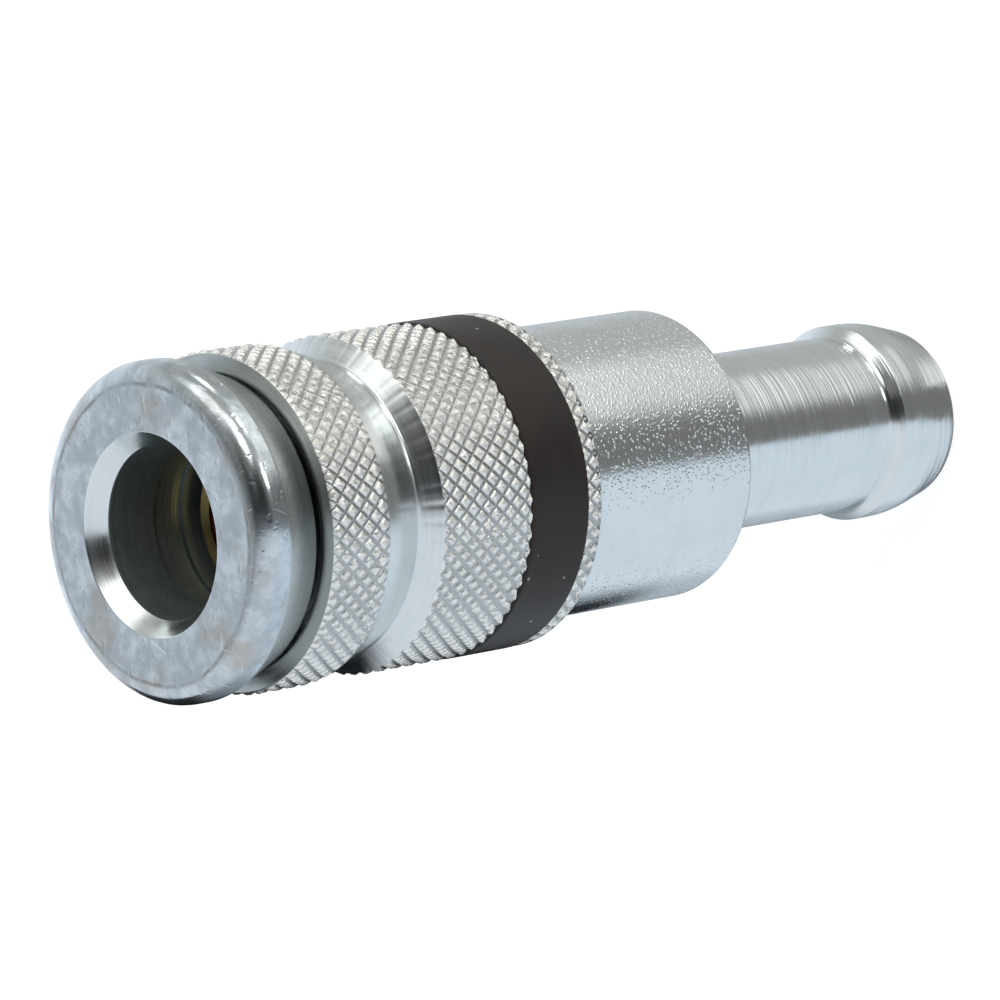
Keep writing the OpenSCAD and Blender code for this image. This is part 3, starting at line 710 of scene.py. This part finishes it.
def sleeve_rows():
    """Rows (radius, station, knurled) of the sleeve's closed profile, front face first."""
    step = 1 / (KNURL_PER_MM * KNURL_STEPS)
    # A side shorter than this gets no knurl rows, and these keep some of a step away from its ends
    shortest, clear = 1.5 * step, 0.3
    root_r = SLEEVE_R - KNURL_DEPTH
    ring_front = SLEEVE_BACK - RIM_RING_LEN
    bevel_end = SLEEVE_FRONT + (SLEEVE_R - SLEEVE_FACE_R) / BEVEL_SLOPE
    slope_start = GROOVE_STATION - (SLEEVE_R - GROOVE_R) / GRIP_SLOPE
    pull_end = GROOVE_STATION + (SLEEVE_R - GROOVE_R) / PULL_SLOPE
    outline = rounded([
        (MOUTH_R, SLEEVE_FRONT, 0.12), (SLEEVE_FACE_R, SLEEVE_FRONT, 0.05), (SLEEVE_R, bevel_end, 0),
        (SLEEVE_R, slope_start, 0), (GROOVE_R, GROOVE_STATION, 0.35), (SLEEVE_R, pull_end, 0),
        (SLEEVE_R, BAND_FRONT, 0), (BAND_SEAT_R, BAND_FRONT, 0.05), (BAND_SEAT_R, BAND_BACK, 0.05),
        (SLEEVE_R, BAND_BACK, 0), (SLEEVE_R, ring_front, 0), (RIM_RING_R, ring_front + RIM_SLOPE_LEN, 0),
        (RIM_RING_R, SLEEVE_BACK, 0.06), (SLEEVE_BORE_R, SLEEVE_BACK, 0.1),
        (SLEEVE_BORE_R, SHOULDER_BACK, 0.1), (LAND_R, SHOULDER_BACK, 0.05), (LAND_R, CONE_BACK, 0.1),
        (CONE_FRONT_R, SLEEVE_STEP, 0.05), (MOUTH_R, SLEEVE_STEP, 0.05),
    ])

    def knurled(radius, station):
        margin, root_margin = 0.001, 0.05
        in_front = SLEEVE_FRONT < station < BAND_FRONT + margin
        behind = BAND_BACK - margin < station < ring_front + margin
        return radius > root_r - root_margin and (in_front or behind)

    rows = []
    for (r0, s0), (r1, s1) in zip(outline, outline[1:] + outline[:1]):
        rows.append((r0, s0, knurled(r0, s0)))
        if s1 < s0 + shortest or max(r0, r1) < root_r:
            continue
        for j in range(math.ceil(s0 / step + clear), math.floor(s1 / step - clear) + 1):
            radius = r0 + (r1 - r0) * (j * step - s0) / (s1 - s0)
            if knurled(radius, j * step):
                rows.append((radius, j * step, True))
    return rows


def make_release_sleeve():
    """Turned sleeve whose skin stands up in diamonds between the crossing grooves."""
    rows = sleeve_rows()
    columns = KNURL_COUNT * KNURL_STEPS
    around = np.arange(columns) / KNURL_STEPS
    angles = 2 * math.pi * np.arange(columns) / columns
    rng = np.random.RandomState(KNURL_SEED)
    vertices = np.zeros((len(rows), columns, 3))
    heights = np.ones((len(rows), columns))
    for j, (radius, station, knurled) in enumerate(rows):
        ring = np.full(columns, radius)
        if knurled:
            heights[j] = knurl_height(around, station * KNURL_PER_MM)
            grain = np.where(heights[j] > TOP_FROM, rng.uniform(0, TOP_GRAIN, columns), 0)
            grain += np.where(heights[j] > WALL_FROM, rng.uniform(-1, 1, columns) * WALL_GRAIN, 0)
            ring = np.minimum(ring, SLEEVE_R - KNURL_DEPTH * (1 - heights[j]) - grain)
        vertices[j, :, 0] = ring * MM * np.cos(angles)
        vertices[j, :, 1] = ring * MM * np.sin(angles)
        vertices[j, :, 2] = at(station)

    plain, skin, groove, inside, front = range(5)
    # Limits of the inner and front faces, each a little past the edge that it belongs to
    mouth_r, room_r = MOUTH_R + 0.05, SLEEVE_BORE_R + 0.1
    room_front, face_back = SHOULDER_BACK - 0.1, SLEEVE_FRONT + 0.2
    faces, kinds = [], []
    for j, (radius, station, knurled) in enumerate(rows):
        after = (j + 1) % len(rows)
        below, above = j * columns, after * columns
        in_mouth = max(radius, rows[after][0]) < mouth_r
        # Between the inner step and the shoulder, the finger groove outside has as small a radius
        in_mouth = in_mouth and not SLEEVE_STEP < station < SHOULDER_BACK
        in_spring_room = radius < room_r and station > room_front
        is_inside = in_mouth or in_spring_room
        # The front face gets the rough zinc with painted shade of the gap to the collar
        is_front = max(station, rows[after][1]) < face_back and not is_inside
        for i in range(columns):
            right = (i + 1) % columns
            if not (knurled and rows[after][2]):
                faces.append((below + i, below + right, above + right, above + i))
                kinds.append(inside if is_inside else front if is_front else plain)
                continue
            # A square is split along the groove that is lower there
            phase = station * KNURL_PER_MM
            along = groove_share(around[i] - phase) < groove_share(around[i] + phase + 1 / KNURL_STEPS)
            if along:
                corners = ((j, i), (j, right), (after, right)), ((j, i), (after, right), (after, i))
            else:
                corners = ((j, i), (j, right), (after, i)), ((j, right), (after, right), (after, i))
            for corner in corners:
                faces.append(tuple(row * columns + column for row, column in corner))
                kinds.append(groove if max(heights[c] for c in corner) < GROOVE_UP_TO else skin)
    if turns_left([row[:2] for row in rows]):
        faces = [face[::-1] for face in faces]
    piece = mesh_object("release_sleeve_knurled", vertices.reshape(-1, 3).tolist(), faces)
    smooth(piece)
    piece.data.polygons.foreach_set("use_smooth", [kind in (plain, inside, front) for kind in kinds])
    for material in (turned_zinc, knurl_zinc, groove_zinc, bore_zinc, dull_shaded_zinc):
        piece.data.materials.append(material)
    piece.data.polygons.foreach_set("material_index", kinds)
    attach(piece, "sleeve")
    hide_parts("release_sleeve")


def make_grip_band():
    """Plain rubber band in the sleeve's groove."""
    piece = turned("grip_band_rubber", [
        (BAND_SEAT_R, BAND_FRONT + BAND_GAP, 0.05), (SLEEVE_R, BAND_FRONT + BAND_GAP, 0.25),
        (SLEEVE_R, BAND_BACK, 0.15), (BAND_SEAT_R, BAND_BACK, 0.05),
    ])
    piece.data.materials.append(band_rubber)
    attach(piece, "sleeve")
    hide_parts("grip_band")


# Springs and the other pieces behind the opening


def make_spring(node, joint, travel, wire, turns):
    """The source's coil with a rounder wire."""
    low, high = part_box(node)
    wire_r = wire / 2 * MM
    end_rise = SPRING_END_RISE * wire * SPRING_END_TURNS * MM
    middle_rise = high.z - low.z - 2 * wire_r - 2 * end_rise
    steps = round(turns * SPRING_TURN_STEPS)
    vertices = []
    for k in range(steps + 1):
        turn = turns * k / steps
        ends = min(1, turn / SPRING_END_TURNS) + max(0, (turn - turns) / SPRING_END_TURNS + 1)
        middle = min(1, max(0, (turn - SPRING_END_TURNS) / (turns - 2 * SPRING_END_TURNS)))
        z = low.z + wire_r + end_rise * ends + middle_rise * middle
        angle = 2 * math.pi * turn
        for s in range(SPRING_SIDES):
            around = 2 * math.pi * s / SPRING_SIDES
            radius = high.x - wire_r + wire_r * math.cos(around)
            height = z + wire_r * math.sin(around)
            vertices.append((radius * math.cos(angle), radius * math.sin(angle), height))
    faces = []
    for k in range(steps):
        for s in range(SPRING_SIDES):
            p, q = k * SPRING_SIDES + s, k * SPRING_SIDES + (s + 1) % SPRING_SIDES
            faces.append((p, p + SPRING_SIDES, q + SPRING_SIDES, q))
    faces.append(tuple(range(SPRING_SIDES)))
    faces.append(tuple(steps * SPRING_SIDES + s for s in reversed(range(SPRING_SIDES))))
    piece = mesh_object(node + "_coil", vertices, faces)
    smooth(piece)
    piece.data.materials.append(spring_steel)
    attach(piece, "body")
    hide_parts(node)
    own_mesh(piece)


def dress_cad_nodes():
    """Materials of the pieces whose CAD shape is shown as it is."""
    for node in ("body_gasket", "plug_seal", "valve_seal"):
        dress(node, seal_rubber)
    for node in ("stop_ring", "spring_washer"):
        dress(node, spring_steel)
    for node in ("valve_poppet", "valve_guide"):
        dress(node, brass)
    for k in range(BALL_COUNT):
        dress(f"ball_{k + 1}", ball_steel)


# Studio


def make_floor():
    """Pale floor. The camera sees it white, and the metal mirrors the world in its place."""
    size = FLOOR_HALF_M
    corners = [(-size, -size, 0), (size, -size, 0), (size, size, 0), (-size, size, 0)]
    piece = mesh_object("floor", corners, [(0, 1, 2, 3)])
    material, nodes = new_material("pale_floor")
    grain = nodes.noise(object_vector(nodes), 900, 2.0)
    tone = nodes.mix(grain, (0.38, 0.38, 0.38), (0.42, 0.42, 0.42))
    surface = nodes.add("ShaderNodeBsdfDiffuse", {"Color": tone})
    seen = nodes.add("ShaderNodeLightPath").outputs["Is Camera Ray"]
    glow_unseen, glow_seen = 0.5, 0.78
    strength = nodes.span(seen, 0.0, 1.0, glow_unseen, glow_seen, "LINEAR")
    glow = nodes.add("ShaderNodeEmission", {"Strength": strength})
    both = nodes.add("ShaderNodeAddShader", {0: surface.outputs[0], 1: glow.outputs[0]})
    nodes.add("ShaderNodeOutputMaterial", {"Surface": both.outputs[0]})
    piece.data.materials.append(material)
    piece.visible_glossy = False


def make_world():
    """Soft studio as the metal mirrors it: a pale bluish table on the -X side, a darker room on the +X side.

    Each line lays the next thing over those before it. Directions are unit vectors from the coupling, and a
    spot is full up to its first angle and gone at its second, in degrees.
    """
    world = bpy.data.worlds.new("studio")
    bpy.context.scene.world = world
    world.use_nodes = True
    nodes = Nodes(world.node_tree)
    direction = nodes.add("ShaderNodeTexCoord").outputs["Generated"]
    x, y, z = nodes.add("ShaderNodeSeparateXYZ", {0: direction}).outputs

    def facing(towards):
        inputs = {0: direction, 1: Vector(towards).normalized()}
        return nodes.add("ShaderNodeVectorMath", inputs, operation="DOT_PRODUCT").outputs["Value"]

    def spot(towards, inner_deg, outer_deg):
        inner, outer = math.cos(math.radians(inner_deg)), math.cos(math.radians(outer_deg))
        return nodes.span(facing(towards), outer, inner)

    def tone(level, tint=(0.985, 1.01, 0.985)):
        return [level * part for part in tint]

    bluish = (0.87, 1.0, 1.12)
    pale_blue = (0.93, 1.0, 1.08)
    # Room, darker near the table, with a pale wall on +Y
    room = nodes.mix(nodes.span(x, 0.19, 0.53), tone(0.2), tone(0.51))
    room = nodes.mix(nodes.span(y, 0.48, 0.93, kind="LINEAR"), room, tone(1.08, (0.9, 1.0, 1.1)))
    # Soft box high on the nose side
    room = nodes.mix(spot((0.724, -0.032, 0.387), 10, 24), room, tone(1.6))
    # Panel whose edge the tail's turning marks mirror as streaks
    panel_z = nodes.product(nodes.span(z, -0.70, -0.635), nodes.span(z, -0.42, -0.5))
    panel_xy = nodes.product(nodes.span(x, 0.3, 0.52), nodes.span(y, 0.0, -0.25))
    room = nodes.mix(nodes.product(panel_z, panel_xy), room, tone(1.3))
    # Strip light, a narrow band along a great circle
    away = nodes.math("ABSOLUTE", facing((0.943, 0.155, 0.293)))
    strip = nodes.product(nodes.span(away, 0.123, 0.102), nodes.span(z, -0.82, -1.03))
    room = nodes.mix(strip, room, tone(1.2))
    # Small lamps, which only tilted marks mirror
    for towards in ((0.38, -0.852, -0.36), (0.808, -0.467, -0.36), (0.928, 0.098, -0.36)):
        room = nodes.mix(spot(towards, 4, 7), room, tone(6.0))
    # Dark place of the camera, the soft box that the collar mirrors beside it, and a small dark place
    room = nodes.mix(spot((0.0, -0.745, 0.667), 26, 61), room, tone(0.03))
    room = nodes.mix(spot((0.754, -0.583, 0.302), 8, 20), room, tone(2.6))
    room = nodes.mix(spot((0.473, -0.586, 0.721), 6.5, 17), room, tone(0.22))
    # Table, with two shades on it
    table = nodes.mix(nodes.span(z, -0.6, 0.1), tone(0.83, bluish), tone(0.83, pale_blue))
    table = nodes.mix(spot((0.118, 0.382, -0.821), 19, 37), table, tone(0.05, bluish))
    studio = nodes.mix(nodes.span(x, -0.17, -0.125), table, room)
    studio = nodes.mix(spot((-0.634, 0.704, -0.319), 15, 32.6), studio, tone(0.34, bluish))
    seen = nodes.add("ShaderNodeLightPath").outputs["Is Camera Ray"]
    background = nodes.add("ShaderNodeBackground", {"Color": nodes.mix(seen, studio, WHITE), "Strength": 1.0})
    nodes.add("ShaderNodeOutputWorld", {"Surface": background.outputs[0]})


def make_flag():
    """Dark soft-edged card close to the -X side, which the metal mirrors as the shade of a near table."""
    x = (-SLEEVE_R - FLAG_GAP) * MM
    low, high = at(BARREL_BACK), at(0)
    near, near_full, far_full, far = (y * MM for y in FLAG_SPAN)
    corners = [(x, near, low), (x, far, low), (x, far, high), (x, near, high)]
    piece = mesh_object("flag", corners, [(0, 1, 2, 3)])
    material, nodes = new_material("flag_shade")
    _, y, z = nodes.add("ShaderNodeSeparateXYZ", {0: object_vector(nodes)}).outputs
    across = nodes.product(nodes.span(y, near, near_full), nodes.span(y, far, far_full))
    share = nodes.product(across, nodes.span(z, low, low + FLAG_FADE * MM))
    dark = nodes.add("ShaderNodeBsdfDiffuse", {"Color": (0.03, 0.035, 0.04, 1.0)})
    clear = nodes.add("ShaderNodeBsdfTransparent")
    both = nodes.add("ShaderNodeMixShader", {0: share, 1: clear.outputs[0], 2: dark.outputs[0]})
    nodes.add("ShaderNodeOutputMaterial", {"Surface": both.outputs[0]})
    piece.data.materials.append(material)
    piece.visible_camera = False
    piece.visible_shadow = False
    piece.visible_diffuse = False


def make_key_lamp():
    """Weak soft lamp that shapes the dull surfaces. The metal doesn't mirror it."""
    light = bpy.data.lights.new("key", "AREA")
    light.shape = "SQUARE"
    light.size = KEY_SIZE_M
    light.energy = KEY_WATTS
    lamp = bpy.data.objects.new("key", light)
    bpy.context.scene.collection.objects.link(lamp)
    lamp.location = KEY_PLACE
    lamp.rotation_mode = "QUATERNION"
    lamp.rotation_quaternion = (KEY_AIM - KEY_PLACE).to_track_quat("-Z", "Y")
    lamp.visible_glossy = False


def make_camera():
    """Camera at the photograph's place, with the camera's own upright turned by the roll."""
    data = bpy.data.cameras.new("camera")
    data.lens = CAMERA_LENS
    data.sensor_width = CAMERA_SENSOR
    camera = bpy.data.objects.new("camera", data)
    bpy.context.scene.collection.objects.link(camera)
    turn = Matrix.Rotation(math.pi / 2 - CAMERA_TILT, 4, "X") @ Matrix.Rotation(-CAMERA_ROLL, 4, "Z")
    back = turn.to_3x3() @ Vector((0, 0, 1))
    camera.matrix_world = Matrix.Translation(CAMERA_AIM + back * CAMERA_DISTANCE) @ turn
    data.clip_start, data.clip_end = CAMERA_CLIP_M
    bpy.context.scene.camera = camera


make_socket_body()
make_hose_adapter()
make_release_sleeve()
make_grip_band()
make_spring("sleeve_spring", "sleeve_slide", *SLEEVE_SPRING)
make_spring("valve_spring", "valve_slide", *VALVE_SPRING)
dress_cad_nodes()
make_floor()
make_world()
make_flag()
make_key_lamp()
make_camera()
bpy.context.scene.view_settings.view_transform = "Standard"

bpy.context.view_layer.update()
